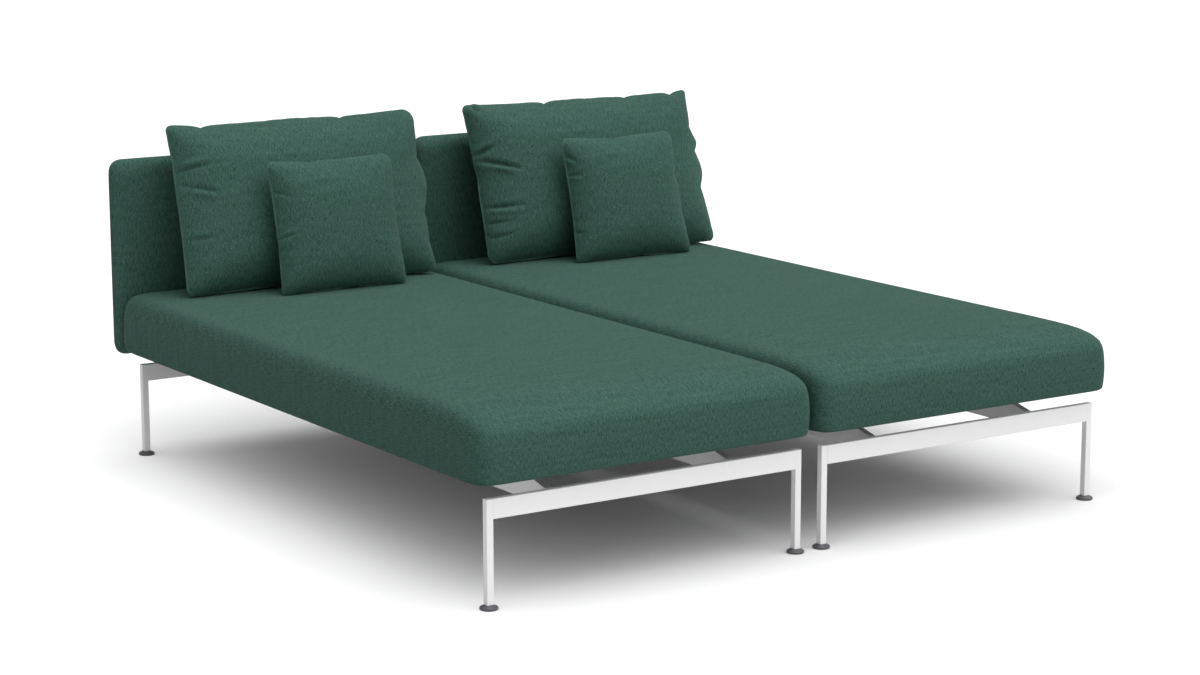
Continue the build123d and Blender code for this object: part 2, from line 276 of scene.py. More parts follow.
restGap = 0.0003  # soft pieces stay this clear of what they lie on, in metres
seatCushion = {
    "cell": 0.014,
    "corner": 0.036,
    "full": 0.8,  # below 1 the rolls are squarer than a quarter circle
    "hem": 0.008,
    "rollHeight": 0.050,
    "rolls": (0.037, 0.037, 0.165, 0.033),  # left, right, nose, back
    "rollShare": 0.17,  # the grid's share that lies on a roll
    "crown": 0.006,
    "crownPower": 2.5,
    "cornerSpread": 3,
    "swell": 0.002,
    "swells": (1, 1, 1, 0),
    "cap": 0.005,  # the furthest that the cloth may move
    "start": 0.002,  # room that the form leaves for it
    "fill": 0.95,
}
backrest = {
    "cell": 0.010,
    "corner": 0.028,
    "full": 1.0,
    "hem": 0.022,
    "rollHeight": 0.022,
    "rolls": (0.022, 0.022, 0.022, 0.022),
    "rollShare": 0.08,
    "crown": 0.0,
    "crownPower": 2.5,
    "cornerSpread": 3,
    "swell": 0.0,
    "swells": (0, 0, 0, 0),
    "cap": 0.003,
    "start": 0.001,
    "fill": 0.95,
}


def makeCushion(name, node, values, toWorld):
    # The rolled form, built lying flat in its own box and turned upright by toWorld; its underside is held
    low, high = cadBox(node)
    corners = np.array([low, high]) @ toWorld
    low, high = corners.min(0), corners.max(0)
    form = dict(values)
    side = np.array([values["swell"] * share for share in values["swells"]])
    start = values["start"]
    form["low"] = low + np.array([side[0] + start, side[2] + start, restGap])
    form["high"] = high - np.array([side[1] + start, side[3] + start, start + values["crown"]])
    size = high - low
    cells = [max(4, int(round(length / values["cell"]))) for length in size]
    lattice, quads, sides = boxLattice(cells)
    points = rolledForm(lattice, cells, form) @ toWorld.T
    uv = unfoldedUv(lattice, cells, quads, sides, form)
    return makePiece(name, points, quads, uv), lattice[:, 2] == 0


lyingFlat = np.eye(3)
standing = np.array([[1, 0, 0], [0, 0, -1], [0, 1, 0]], float)  # own x, y, z become X, Z and -Y
softPieces = {}
for side, unit in chaises.items():
    for word, node, values, turned in (
        ("SeatCushion", "seat_cover", seatCushion, lyingFlat),
        ("Backrest", "back_cover", backrest, standing),
    ):
        piece, under = makeCushion(f"{side}{word}", f"{unit}_{node}", values, turned)
        addCloth(piece, values["cap"], pinned=under)
        softPieces[f"{side}{word}"] = piece
print("cushions and backrests formed")


# Loose pillows

backPillow = {
    "rings": 40,
    "front": 0.062,
    "back": 0.150,
    "frontFull": (3.4, 0.78),  # the profile's full and blunt
    "backFull": (1.9, 1.30),
    "drawnIn": 0.004,
    "lean": 19.0,  # degrees off upright
    "settle": 0.004,  # how far it sinks on to the seat
    "cap": 0.008,
    "pressGap": 0.002,  # what a small pillow keeps in front of it
    "slack": 0.01,
    "pleatWidth": 0.0048,
    "sway": 0.0018,
    "piping": 0.0022,
    "fill": 0.75,
}
smallPillow = {
    "rings": 32,
    "front": 0.046,
    "back": 0.060,
    "frontFull": (3.6, 0.78),
    "backFull": (2.6, 1.20),
    "drawnIn": 0.003,
    "lean": 16.5,
    "settle": 0.004,
    "cap": 0.005,
    "slack": 0.01,
    "pleatWidth": 0.0040,
    "sway": 0.0012,
    "piping": 0.0020,
    "fill": 0.75,
}

# What all four pillows share: how the cloth rises from the seam and comes in to the middle, and how the
# corners open, in powers and shares
pillowShape = {
    "steps": 201,
    "rise": 1.7,
    "reachIn": 4,
    "cornerSpread": 0.35,
    "bowFade": 3,
}

# Corner radii in metres, at the top left, top right, bottom left and bottom right
pillowCorners = {
    "leftBackPillow": (0.014, 0.032, 0.026, 0.020),
    "rightBackPillow": (0.016, 0.006, 0.030, 0.026),
    "leftSmallPillow": (0.016, 0.026, 0.018, 0.018),
    "rightSmallPillow": (0.022, 0.026, 0.020, 0.016),
}

# Where a pillow's seam stands: the X of its top left, top right, bottom left and bottom right ends, how
# far its bottom is in front of the backrest, and its height, in metres
pillowSeams = {
    "leftBackPillow": {"x": (-0.7045, -0.0352, -0.7213, -0.0481), "reach": 0.1820, "height": 0.4140},
    "rightBackPillow": {"x": (0.1113, 0.7975, 0.1085, 0.8050), "reach": 0.1750, "height": 0.4120},
    "leftSmallPillow": {"x": (-0.5190, -0.1856, -0.5294, -0.1944), "reach": 0.2920, "height": 0.3210},
    "rightSmallPillow": {"x": (0.3087, 0.6459, 0.2993, 0.6495), "reach": 0.2850, "height": 0.3205},
}


def pillowLattice(across, along):
    # Two grids of points, front (1) and back (-1), welded along their edge (0)
    i, j = np.meshgrid(np.arange(across + 1), np.arange(along + 1), indexing="ij")
    rim = (i == 0) | (i == across) | (j == 0) | (j == along)
    points = [np.stack([i, j, np.where(rim, 0, face)], -1).reshape(-1, 3) for face in (1, -1)]
    quads = gridQuads(across, along)
    welded, number = np.unique(np.concatenate(points), axis=0, return_inverse=True)
    return welded, number.reshape(-1)[np.concatenate([quads, quads[:, ::-1] + i.size])]


def pillowProfile(values, half):
    # From the seam (step 0) to the middle (step 1): depth = step ** rise, inset = short * depth + (half -
    # short) * step ** reachIn, short being the lesser half size, and height = thick * (1 - (1 - depth) **
    # full) ** blunt, with its own thickness on each face. The cloth's length from the seam is the sum of
    # the front's small steps.
    step = np.linspace(0, 1, pillowShape["steps"])
    depth = step ** pillowShape["rise"]
    runIn = step ** pillowShape["reachIn"]
    inset = half.min() * depth[:, None] + (half - half.min()) * runIn[:, None]
    heights = []
    for face in ("front", "back"):
        full, blunt = values[f"{face}Full"]
        heights.append(values[face] * (1 - (1 - depth) ** full) ** blunt)
    strides = np.hypot(np.diff(inset, axis=0), np.diff(heights[0])[:, None])
    return step, inset, heights, np.vstack([np.zeros((1, 2)), np.cumsum(strides, axis=0)])


def makePillow(name, unit, values):
    # Rounded rectangles, one for each ring of the grid, raised by the profile to both sides of the seam.
    # The sides pull in between the corners by drawnIn * (1 - along ** 2) at the seam, and the whole is
    # stretched between the seam's four ends.
    wallY = cadBox(f"{unit}_back_cover")[0][1]
    seatTop = cadBox(f"{unit}_seat_cover")[1][2]
    seam = pillowSeams[name]
    topLeft, topRight, bottomLeft, bottomRight = seam["x"]
    half = np.array([(topRight - topLeft + bottomRight - bottomLeft) / 2, seam["height"]]) / 2
    along = 2 * values["rings"]
    across = 2 * int(round(values["rings"] * half[0] / half[1]))
    lattice, quads = pillowLattice(across, along)
    share = lattice[:, :2] / np.array([across, along]) * 2 - 1
    ring = np.abs(share).max(1)
    edge = share / np.maximum(ring, tiny)[:, None]
    face = lattice[:, 2]
    step, insets, heights, lengths = pillowProfile(values, half)
    inset = np.column_stack([np.interp(1 - ring, step, column) for column in insets.T])
    fromSeam = np.column_stack([np.interp(1 - ring, step, column) for column in lengths.T])
    front, back = (np.interp(1 - ring, step, column) for column in heights)
    height = np.where(face > 0, front, back)
    halves = half - inset
    isTop, isRight = edge[:, 1] > 0, edge[:, 0] > 0
    radii = pillowCorners[name]
    radius = np.where(isTop, np.where(isRight, radii[1], radii[0]), np.where(isRight, radii[3], radii[2]))
    radius = np.minimum(radius + inset[:, 1] * pillowShape["cornerSpread"], halves.min(1))
    plan = roundedCorners(edge, halves, radius[:, None])
    onEdge = np.abs(edge) >= 1 - tiny
    bow = (1 - edge[:, ::-1] ** 2) * onEdge * (ring ** pillowShape["bowFade"])[:, None]
    plan -= np.sign(edge) * bow * values["drawnIn"]
    cloth = lengths[-1]
    onPanel = edge * (cloth - fromSeam)
    toRight, toTop = ((plan / half + 1) / 2).T
    leftEnd, rightEnd = seamEnds(name, toTop)
    foot, up, out = seamFrame(name, values, wallY, seatTop)
    points = foot + (plan[:, 1:] + half[1]) * up + (height * face)[:, None] * out
    points[:, 0] = leftEnd + (rightEnd - leftEnd) * toRight
    isBack = lattice[quads][..., 2].min(1) < 0
    besideFront = np.array([6 * half[0], 0])
    uv = onPanel[quads] + isBack[:, None, None] * besideFront
    piece = makePiece(name, points, quads, uv)
    panel = piece.data.attributes.new("panel", "FLOAT_VECTOR", "POINT")
    panel.data.foreach_set("vector", np.column_stack([onPanel, face]).astype(np.float32).ravel())
    piece["cloth"] = [float(size) for size in cloth]
    piece["wallY"], piece["seatTop"] = float(wallY), float(seatTop)
    return piece


def seamEnds(name, toTop):
    # The seam's left and right X at a share of its height: end = bottom + (top - bottom) * share
    topLeft, topRight, bottomLeft, bottomRight = pillowSeams[name]["x"]
    left = bottomLeft + (topLeft - bottomLeft) * toTop
    right = bottomRight + (topRight - bottomRight) * toTop
    return left, right


def seamFrame(name, values, wallY, seatTop):
    # The middle of the seam's bottom and the pillow's directions: up = (0, sin, cos) and out = (0, -cos,
    # sin) of its lean
    tilt = math.radians(values["lean"])
    up = np.array([0, math.sin(tilt), math.cos(tilt)])
    out = np.array([0, -math.cos(tilt), math.sin(tilt)])
    foot = np.array([0, wallY - pillowSeams[name]["reach"], seatTop + restGap]) - values["settle"] * up
    return foot, up, out


def pressOn(piece, behind, values):
    # Points that would be inside the pillow behind are moved out along its out direction, to its front's
    # height = front * (1 - (1 - inset / half) ** full) ** blunt + cap + pressGap
    points = readPoints(piece.data)
    foot, up, out = seamFrame(behind, values, piece["wallY"], piece["seatTop"])
    tall = pillowSeams[behind]["height"]
    rise, depth = (points - foot) @ up, (points - foot) @ out
    left, right = seamEnds(behind, rise / tall)
    fromSides = np.minimum(points[:, 0] - left, right - points[:, 0])
    inset = np.minimum(fromSides, np.minimum(rise, tall - rise))
    share = np.clip(inset / (tall / 2), 0, 1)
    full, blunt = values["frontFull"]
    front = values["front"] * (1 - (1 - share) ** full) ** blunt + values["cap"] + values["pressGap"]
    points += np.where(inset > 0, np.maximum(front - depth, 0), 0)[:, None] * out
    writePoints(piece.data, points)


def settle(piece):
    # Flat where it rests: nothing lower than the seat's top or behind the backrest's face
    points = readPoints(piece.data)
    points[:, 2] = np.maximum(points[:, 2], piece["seatTop"] + restGap)
    points[:, 1] = np.minimum(points[:, 1], piece["wallY"] - restGap)
    writePoints(piece.data, points)


# Pleats run in from a seam: side, place along it, length, depth, lean in degrees, and where they are deepest
pleats = {
    "leftBackPillow": (
        ("left", 0.098, 0.130, 0.0090, 0, 0.3),
        ("left", 0.066, 0.125, 0.0090, -19, 0.7),
        ("left", -0.080, 0.100, 0.0050, 2, 0.55),
    ),
    "rightBackPillow": (
        ("left", 0.074, 0.080, 0.0110, 14, 0.45),
        ("left", 0.066, 0.150, 0.0130, -19, 0.6),
        ("left", -0.068, 0.130, 0.0095, -1, 0.5),
        ("left", -0.112, 0.090, 0.0050, 4, 0.5),
        ("left", -0.150, 0.090, 0.0040, 6, 0.5),
        ("top", -0.340, 0.050, 0.0100, 32, 0.35),
    ),
    "leftSmallPillow": (
        ("left", 0.095, 0.065, 0.0040, -24, 0.5),
        ("left", -0.030, 0.065, 0.0045, 14, 0.5),
        ("top", -0.120, 0.060, 0.0035, -20, 0.3),
    ),
    "rightSmallPillow": (
        ("left", 0.070, 0.055, 0.0045, -12, 0.5),
        ("left", 0.125, 0.055, 0.0050, -38, 0.35),
        ("left", -0.090, 0.045, 0.0035, 6, 0.4),
    ),
}

# Notches where the seam is drawn in: side, place along it, depth and width in metres; a negative depth
# is a stretch that stands out
notches = {
    "leftBackPillow": (
        ("top", -0.2577, 0.0090, 0.020),
        ("top", 0.137, 0.0060, 0.012),
        ("top", 0.000, -0.0060, 0.120),
        ("right", 0.092, 0.0060, 0.012),
        ("right", 0.020, -0.0150, 0.055),
        ("right", -0.060, 0.0060, 0.014),
        ("right", -0.139, 0.0060, 0.018),
        ("left", 0.130, 0.0040, 0.016),
    ),
    "rightBackPillow": (
        ("top", -0.104, 0.0080, 0.014),
        ("top", 0.158, 0.0050, 0.012),
        ("top", 0.310, 0.0110, 0.014),
        ("top", -0.020, -0.0060, 0.140),
        ("right", 0.108, 0.0130, 0.018),
        ("right", 0.072, -0.0120, 0.026),
        ("right", 0.045, 0.0070, 0.012),
        ("right", -0.010, -0.0120, 0.045),
        ("right", -0.064, 0.0110, 0.018),
        ("left", 0.020, 0.0040, 0.018),
    ),
    "leftSmallPillow": (
        ("top", -0.060, 0.0045, 0.020),
        ("right", 0.040, 0.0050, 0.018),
        ("bottom", 0.030, 0.0040, 0.012),
    ),
    "rightSmallPillow": (
        ("top", -0.020, 0.0050, 0.022),
        ("right", 0.050, 0.0050, 0.016),
        ("right", -0.060, 0.0050, 0.016),
        ("bottom", 0.020, 0.0040, 0.012),
    ),
}

# How the cloth lies in and beside a pleat, in pleat widths and shares of its depth, and how far sway,
# notches, piping and the painted highlight along the seam reach from the seam, in metres
foldShape = {
    "ridgeShare": 0.45,
    "ridgePlace": 2.2,
    "ridgeWidth": 1.7,
    "counterShare": 0.15,
    "counterPlace": -2.6,
    "counterWidth": 2.0,
    "startRise": 0.1,
    "startBefore": -0.05,
    "frontFrom": -0.2,
    "swayWaves": (3, 5, 8, 13),
    "swayReach": 0.05,
    "swayClear": 0.002,
    "notchReach": 0.025,
    "pipingReach": 0.0025,
    "seamHighlightReach": 0.0032,
}


def pleatPush(name, values, x, y, face, starts):
    # A pleat presses in by depth * rise * exp(-|across| / width), where rise goes from a little over 0 to 1
    # at its deepest place and on to 0, smoothed by rise ** 2 * (3 - 2 * rise). The cloth that it takes lies
    # in a ridge and a lower counter ridge beside it: share * exp(-((across - place) / width) ** 2).
    shape = foldShape
    width = values["pleatWidth"]
    push = np.zeros(len(x))
    for side, at, length, depth, lean, deepest in pleats[name]:
        startX, startY, heading = starts[side]
        startX, startY = (startX, at) if side in ("left", "right") else (at, startY)
        way = math.radians(heading + lean)
        along = ((x - startX) * math.cos(way) + (y - startY) * math.sin(way)) / length
        across = -(x - startX) * math.sin(way) + (y - startY) * math.cos(way)
        rise = np.interp(along, (0, deepest, 1), (shape["startRise"], 1, 0))
        onFront = (along > shape["startBefore"]) & (face >= shape["frontFrom"])
        rise = rise * rise * (3 - 2 * rise) * onFront
        aside = across if lean >= 0 else -across
        valley = np.exp(-np.abs(across) / width)
        ridge, counter = (
            np.exp(-((aside - shape[f"{word}Place"] * width) / (shape[f"{word}Width"] * width)) ** 2)
            for word in ("ridge", "counter")
        )
        push += depth * rise * (shape["ridgeShare"] * ridge + shape["counterShare"] * counter - valley)
    return push


def swayPush(values, around, fromSeam, seed):
    # The cloth sways by sway * the sum of sin(waves * around + chance) / sqrt(waves), fading from the seam
    chance = np.random.default_rng(seed)
    sway = np.zeros(len(around))
    for waves in foldShape["swayWaves"]:
        sway += np.sin(waves * around + chance.uniform(0, 6.28)) / waves ** 0.5
    near = np.exp(-fromSeam / foldShape["swayReach"]) * (fromSeam > foldShape["swayClear"])
    return values["sway"] * sway * near


def seamStand(name, values, x, y, atSide, fromSeam):
    # The piping stands out by piping * exp(-(fromSeam / reach) ** 2). A notch draws the seam in by depth *
    # exp(-|along| / width) * exp(-fromSeam / reach), with exp(-(along / width) ** 2) where it stands out.
    stand = values["piping"] * np.exp(-(fromSeam / foldShape["pipingReach"]) ** 2)
    sides = {
        "left": (x < 0) & atSide,
        "right": (x > 0) & atSide,
        "top": (y > 0) & ~atSide,
        "bottom": (y < 0) & ~atSide,
    }
    for side, at, depth, wide in notches[name]:
        along = (y if side in ("left", "right") else x) - at
        drawn = np.exp(-np.abs(along) / wide) if depth > 0 else np.exp(-(along / wide) ** 2)
        stand -= depth * drawn * np.exp(-fromSeam / foldShape["notchReach"]) * sides[side]
    return stand


def pleatPillow(piece, values, seed):
    # Point = point + normal * (pleats + sway) + away from the middle * (piping - notches). The seam
    # attribute, exp(-(fromSeam / reach) ** 2), is where the cloth's colour gets a painted highlight along
    # the piping.
    mesh = piece.data
    points, normals = readPoints(mesh), readNormals(mesh)
    panel = np.zeros(len(mesh.vertices) * 3, np.float32)
    mesh.attributes["panel"].data.foreach_get("vector", panel)
    x, y, face = panel.reshape(-1, 3).astype(float).T
    halfX, halfY = piece["cloth"]
    starts = {
        "left": (-halfX, 0, 0),
        "right": (halfX, 0, 180),
        "top": (0, halfY, -90),
        "bottom": (0, -halfY, 90),
    }
    fromSeam = np.minimum(halfX - np.abs(x), halfY - np.abs(y))
    push = pleatPush(piece.name, values, x, y, face, starts)
    push += swayPush(values, np.arctan2(y / halfY, x / halfX), fromSeam, seed)
    up = seamFrame(piece.name, values, piece["wallY"], piece["seatTop"])[1]
    atSide = np.abs(x) / halfX > np.abs(y) / halfY
    away = np.where(atSide[:, None], np.sign(x)[:, None] * np.array([1, 0, 0]), np.sign(y)[:, None] * up)
    stand = seamStand(piece.name, values, x, y, atSide, fromSeam)
    writePoints(mesh, points + normals * push[:, None] + away * stand[:, None])
    # The seam attribute sets where the cloth's colour gets a painted highlight along the piping
    seam = mesh.attributes.new("seam", "FLOAT", "POINT")
    line = np.exp(-(fromSeam / foldShape["seamHighlightReach"]) ** 2)
    seam.data.foreach_set("value", line.astype(np.float32))


for side, unit in chaises.items():
    for word, values in (("BackPillow", backPillow), ("SmallPillow", smallPillow)):
        piece = makePillow(f"{side}{word}", unit, values)
        addCloth(piece, values["cap"], slack=values["slack"])
        softPieces[f"{side}{word}"] = piece
print("pillows formed, padding them")
runCloth()
firstSeed = 11
for number, (name, piece) in enumerate(softPieces.items()):
    subdivide(piece)
    if name in pleats:
        isLarge = "BackPillow" in name
        pleatPillow(piece, backPillow if isLarge else smallPillow, seed=firstSeed + number)
        if not isLarge:
            pressOn(piece, name.replace("SmallPillow", "BackPillow"), backPillow)
        settle(piece)
print("soft pieces padded and pleated")


# Shader helpers

def addNode(tree, kind, **settings):
    # A shader node; a setting goes to the socket of its name, or else to the node itself
    node = tree.nodes.new(kind)
    for key, value in settings.items():
        if key in node.inputs:
            node.inputs[key].default_value = value
        else:
            setattr(node, key, value)
    return node


def mathNode(tree, operation, first, second=None):
    # The output of operation(first, second), where each is a number or a socket
    node = tree.nodes.new("ShaderNodeMath")
    node.operation = operation
    for socket, value in zip(node.inputs, (first, second)):
        if value is None:
            continue
        if isinstance(value, (int, float)):
            socket.default_value = value
        else:
            tree.links.new(value, socket)
    return node.outputs[0]


def newGroup(name, inputs, outputs):
    # An empty node group with named inputs and outputs, and its two end nodes
    group = bpy.data.node_groups.new(name, "ShaderNodeTree")
    for label, kind, value in inputs:
        socket = group.interface.new_socket(name=label, in_out="INPUT", socket_type=kind)
        if value is not None:
            socket.default_value = value
    for label, kind in outputs:
        group.interface.new_socket(name=label, in_out="OUTPUT", socket_type=kind)
    return group, group.nodes.new("NodeGroupInput"), group.nodes.new("NodeGroupOutput")


def newMaterial(name):
    # A material, its node tree and its Principled shader
    material = bpy.data.materials.new(name)
    material.use_nodes = True
    tree = material.node_tree
    shader = next(node for node in tree.nodes if node.type == "BSDF_PRINCIPLED")
    return material, tree, shader


# How the weave varies: the weft's streaks against the warp's, the noise across the threads and how far
# apart warp and weft read it, the tones that become deep and pale, the slub bands, how strongly a painted
# highlight along the seam lifts the colour, how round a thread is, and its roughness in the dips and on top
weaveShape = {
    "weftStreak": 0.3,
    "scale": 0.95,
    "detail": 2.0,
    "roughness": 0.6,
    "weftShift": 37.0,
    "deepFrom": 0.36,
    "paleFrom": 0.64,
    "slubNarrow": 0.10,
    "slubLift": 0.10,
    "seamHighlight": 0.55,
    "threadRound": 0.5,
    "dipRoughness": 0.95,
    "topRoughness": 0.82,
}


def clothWeaveGroup():
    # Plain weave: warp and weft threads take turns on top where sin(pi * warp) * sin(pi * weft) changes
    # its sign, each thread's shade drifts along its length, and height = |that product| ** threadRound
    shape = weaveShape
    group, given, result = newGroup(
        "clothWeave",
        (
            ("Vector", "NodeSocketVector", None),
            ("Thread", "NodeSocketFloat", 0.0016),
            ("Streak", "NodeSocketFloat", 0.014),
            ("Slub", "NodeSocketFloat", 0.045),
            ("Deep", "NodeSocketColor", (0.02, 0.06, 0.045, 1)),
            ("Pale", "NodeSocketColor", (0.09, 0.17, 0.14, 1)),
            ("Seam", "NodeSocketFloat", 0.0),
        ),
        (("Color", "NodeSocketColor"), ("Height", "NodeSocketFloat"), ("Roughness", "NodeSocketFloat")),
    )
    link = group.links.new
    split = group.nodes.new("ShaderNodeSeparateXYZ")
    link(given.outputs["Vector"], split.inputs[0])
    warp = mathNode(group, "DIVIDE", split.outputs["X"], given.outputs["Thread"])
    weft = mathNode(group, "DIVIDE", split.outputs["Y"], given.outputs["Thread"])
    longWarp = mathNode(group, "DIVIDE", split.outputs["Y"], given.outputs["Streak"])
    shortStreak = mathNode(group, "MULTIPLY", given.outputs["Streak"], shape["weftStreak"])
    longWeft = mathNode(group, "DIVIDE", split.outputs["X"], shortStreak)
    tones = []
    for thread, along, shift in ((warp, longWarp, 0.0), (weft, longWeft, shape["weftShift"])):
        joined = group.nodes.new("ShaderNodeCombineXYZ")
        link(thread, joined.inputs["X"])
        link(mathNode(group, "ADD", along, shift), joined.inputs["Y"])
        noise = addNode(group, "ShaderNodeTexNoise", Scale=shape["scale"], Detail=shape["detail"])
        noise.inputs["Roughness"].default_value = shape["roughness"]
        link(joined.outputs[0], noise.inputs["Vector"])
        tones.append(noise.outputs["Fac"])
    waves = [
        mathNode(group, "SINE", mathNode(group, "MULTIPLY", thread, math.pi)) for thread in (warp, weft)
    ]
    over = mathNode(group, "MULTIPLY", waves[0], waves[1])
    onTop = mathNode(group, "GREATER_THAN", over, 0.0)
    tone = addNode(group, "ShaderNodeMix", data_type="FLOAT")
    link(onTop, tone.inputs["Factor"])
    link(tones[1], tone.inputs["A"])
    link(tones[0], tone.inputs["B"])
    ramp = group.nodes.new("ShaderNodeMapRange")
    ramp.inputs["From Min"].default_value = shape["deepFrom"]
    ramp.inputs["From Max"].default_value = shape["paleFrom"]
    slubPlace = group.nodes.new("ShaderNodeCombineXYZ")
    link(mathNode(group, "DIVIDE", split.outputs["X"], given.outputs["Slub"]), slubPlace.inputs["X"])
    link(mathNode(group, "MULTIPLY", weft, shape["slubNarrow"]), slubPlace.inputs["Y"])
    slub = addNode(group, "ShaderNodeTexNoise", Scale=1.0, Detail=shape["detail"])
    link(slubPlace.outputs[0], slub.inputs["Vector"])
    fromMiddle = mathNode(group, "SUBTRACT", slub.outputs["Fac"], 0.5)
    lift = mathNode(group, "MULTIPLY", fromMiddle, shape["slubLift"])
    link(mathNode(group, "ADD", tone.outputs["Result"], lift), ramp.inputs["Value"])
    shade = addNode(group, "ShaderNodeMix", data_type="RGBA")
    link(ramp.outputs[0], shade.inputs["Factor"])
    link(given.outputs["Deep"], shade.inputs["A"])
    link(given.outputs["Pale"], shade.inputs["B"])
    # Painted highlight: along the seam the colour is lifted toward the pale tone, standing in for light
    # caught on the piping
    withSeamHighlight = addNode(group, "ShaderNodeMix", data_type="RGBA")
    link(mathNode(group, "MULTIPLY", given.outputs["Seam"], shape["seamHighlight"]), withSeamHighlight.inputs["Factor"])
    link(shade.outputs["Result"], withSeamHighlight.inputs["A"])
    link(given.outputs["Pale"], withSeamHighlight.inputs["B"])
    height = mathNode(group, "POWER", mathNode(group, "ABSOLUTE", over), shape["threadRound"])
    link(withSeamHighlight.outputs["Result"], result.inputs["Color"])
    link(height, result.inputs["Height"])
    rough = group.nodes.new("ShaderNodeMapRange")
    rough.inputs["To Min"].default_value = shape["dipRoughness"]
    rough.inputs["To Max"].default_value = shape["topRoughness"]
    link(height, rough.inputs["Value"])
    link(rough.outputs[0], result.inputs["Roughness"])
    return group


def fineGrainGroup():
    # Fine bumps and broad blotches from two noises, for paint, moulded plastic, board and steel
    group, given, result = newGroup(
        "fineGrain",
        (
            ("Vector", "NodeSocketVector", None),
            ("Grain", "NodeSocketFloat", 900.0),
            ("Blotch", "NodeSocketFloat", 6.0),
            ("Dark", "NodeSocketColor", (0.7, 0.7, 0.7, 1)),
            ("Light", "NodeSocketColor", (0.8, 0.8, 0.8, 1)),
            ("Rough Low", "NodeSocketFloat", 0.35),
            ("Rough High", "NodeSocketFloat", 0.5),
        ),
        (("Color", "NodeSocketColor"), ("Height", "NodeSocketFloat"), ("Roughness", "NodeSocketFloat")),
    )
    link = group.links.new
    fine = addNode(group, "ShaderNodeTexNoise", Detail=2.0)
    broad = addNode(group, "ShaderNodeTexNoise", Detail=4.0)
    for noise, size in ((fine, "Grain"), (broad, "Blotch")):
        link(given.outputs["Vector"], noise.inputs["Vector"])
        link(given.outputs[size], noise.inputs["Scale"])
    shade = addNode(group, "ShaderNodeMix", data_type="RGBA")
    link(broad.outputs["Fac"], shade.inputs["Factor"])
    link(given.outputs["Dark"], shade.inputs["A"])
    link(given.outputs["Light"], shade.inputs["B"])
    rough = group.nodes.new("ShaderNodeMapRange")
    link(broad.outputs["Fac"], rough.inputs["Value"])
    link(given.outputs["Rough Low"], rough.inputs["To Min"])
    link(given.outputs["Rough High"], rough.inputs["To Max"])
    link(shade.outputs["Result"], result.inputs["Color"])
    link(fine.outputs["Fac"], result.inputs["Height"])
    link(rough.outputs[0], result.inputs["Roughness"])
    return group


clothWeave = clothWeaveGroup()
fineGrain = fineGrainGroup()


def dressShader(tree, shader, group, values):
    # The group's colour, roughness and height drive the shader, the height through a bump
    bump = addNode(tree, "ShaderNodeBump", Strength=values["bump"], Distance=values["bumpHeight"])
    tree.links.new(group.outputs["Height"], bump.inputs["Height"])
    tree.links.new(group.outputs["Color"], shader.inputs["Base Color"])
    tree.links.new(group.outputs["Roughness"], shader.inputs["Roughness"])
    tree.links.new(bump.outputs["Normal"], shader.inputs["Normal"])


def clothMaterial(name, values):
    # Woven cloth that follows the piece's own cloth map, with a painted highlight along the seam from the
    # seam attribute, and a soft sheen
    material, tree, shader = newMaterial(name)
    uv = addNode(tree, "ShaderNodeUVMap", uv_map="cloth")
    weave = addNode(tree, "ShaderNodeGroup", node_tree=clothWeave)
    tree.links.new(uv.outputs["UV"], weave.inputs["Vector"])
    # The seam attribute drives a painted highlight along the piping
    seam = addNode(tree, "ShaderNodeAttribute", attribute_name="seam")
    tree.links.new(seam.outputs["Fac"], weave.inputs["Seam"])
    for key in ("Thread", "Streak", "Slub", "Deep", "Pale"):
        weave.inputs[key].default_value = values[key]
    dressShader(tree, shader, weave, values)
    shader.inputs["Sheen Weight"].default_value = values["sheen"]
    shader.inputs["Sheen Roughness"].default_value = values["sheenRoughness"]
    shader.inputs["Sheen Tint"].default_value = values["sheenTint"]
    shader.inputs["Specular IOR Level"].default_value = values["gloss"]
    return material


def grainMaterial(name, values):
    # A finely grained finish on Object coordinates, for paint, plastic, steel, board and foam
    material, tree, shader = newMaterial(name)
    place = tree.nodes.new("ShaderNodeTexCoord")
    grain = addNode(tree, "ShaderNodeGroup", node_tree=fineGrain)
    tree.links.new(place.outputs["Object"], grain.inputs["Vector"])
    for key in ("Grain", "Blotch", "Dark", "Light", "Rough Low", "Rough High"):
        grain.inputs[key].default_value = values[key]
    dressShader(tree, shader, grain, values)
    shader.inputs["Metallic"].default_value = values["metal"]
    return material


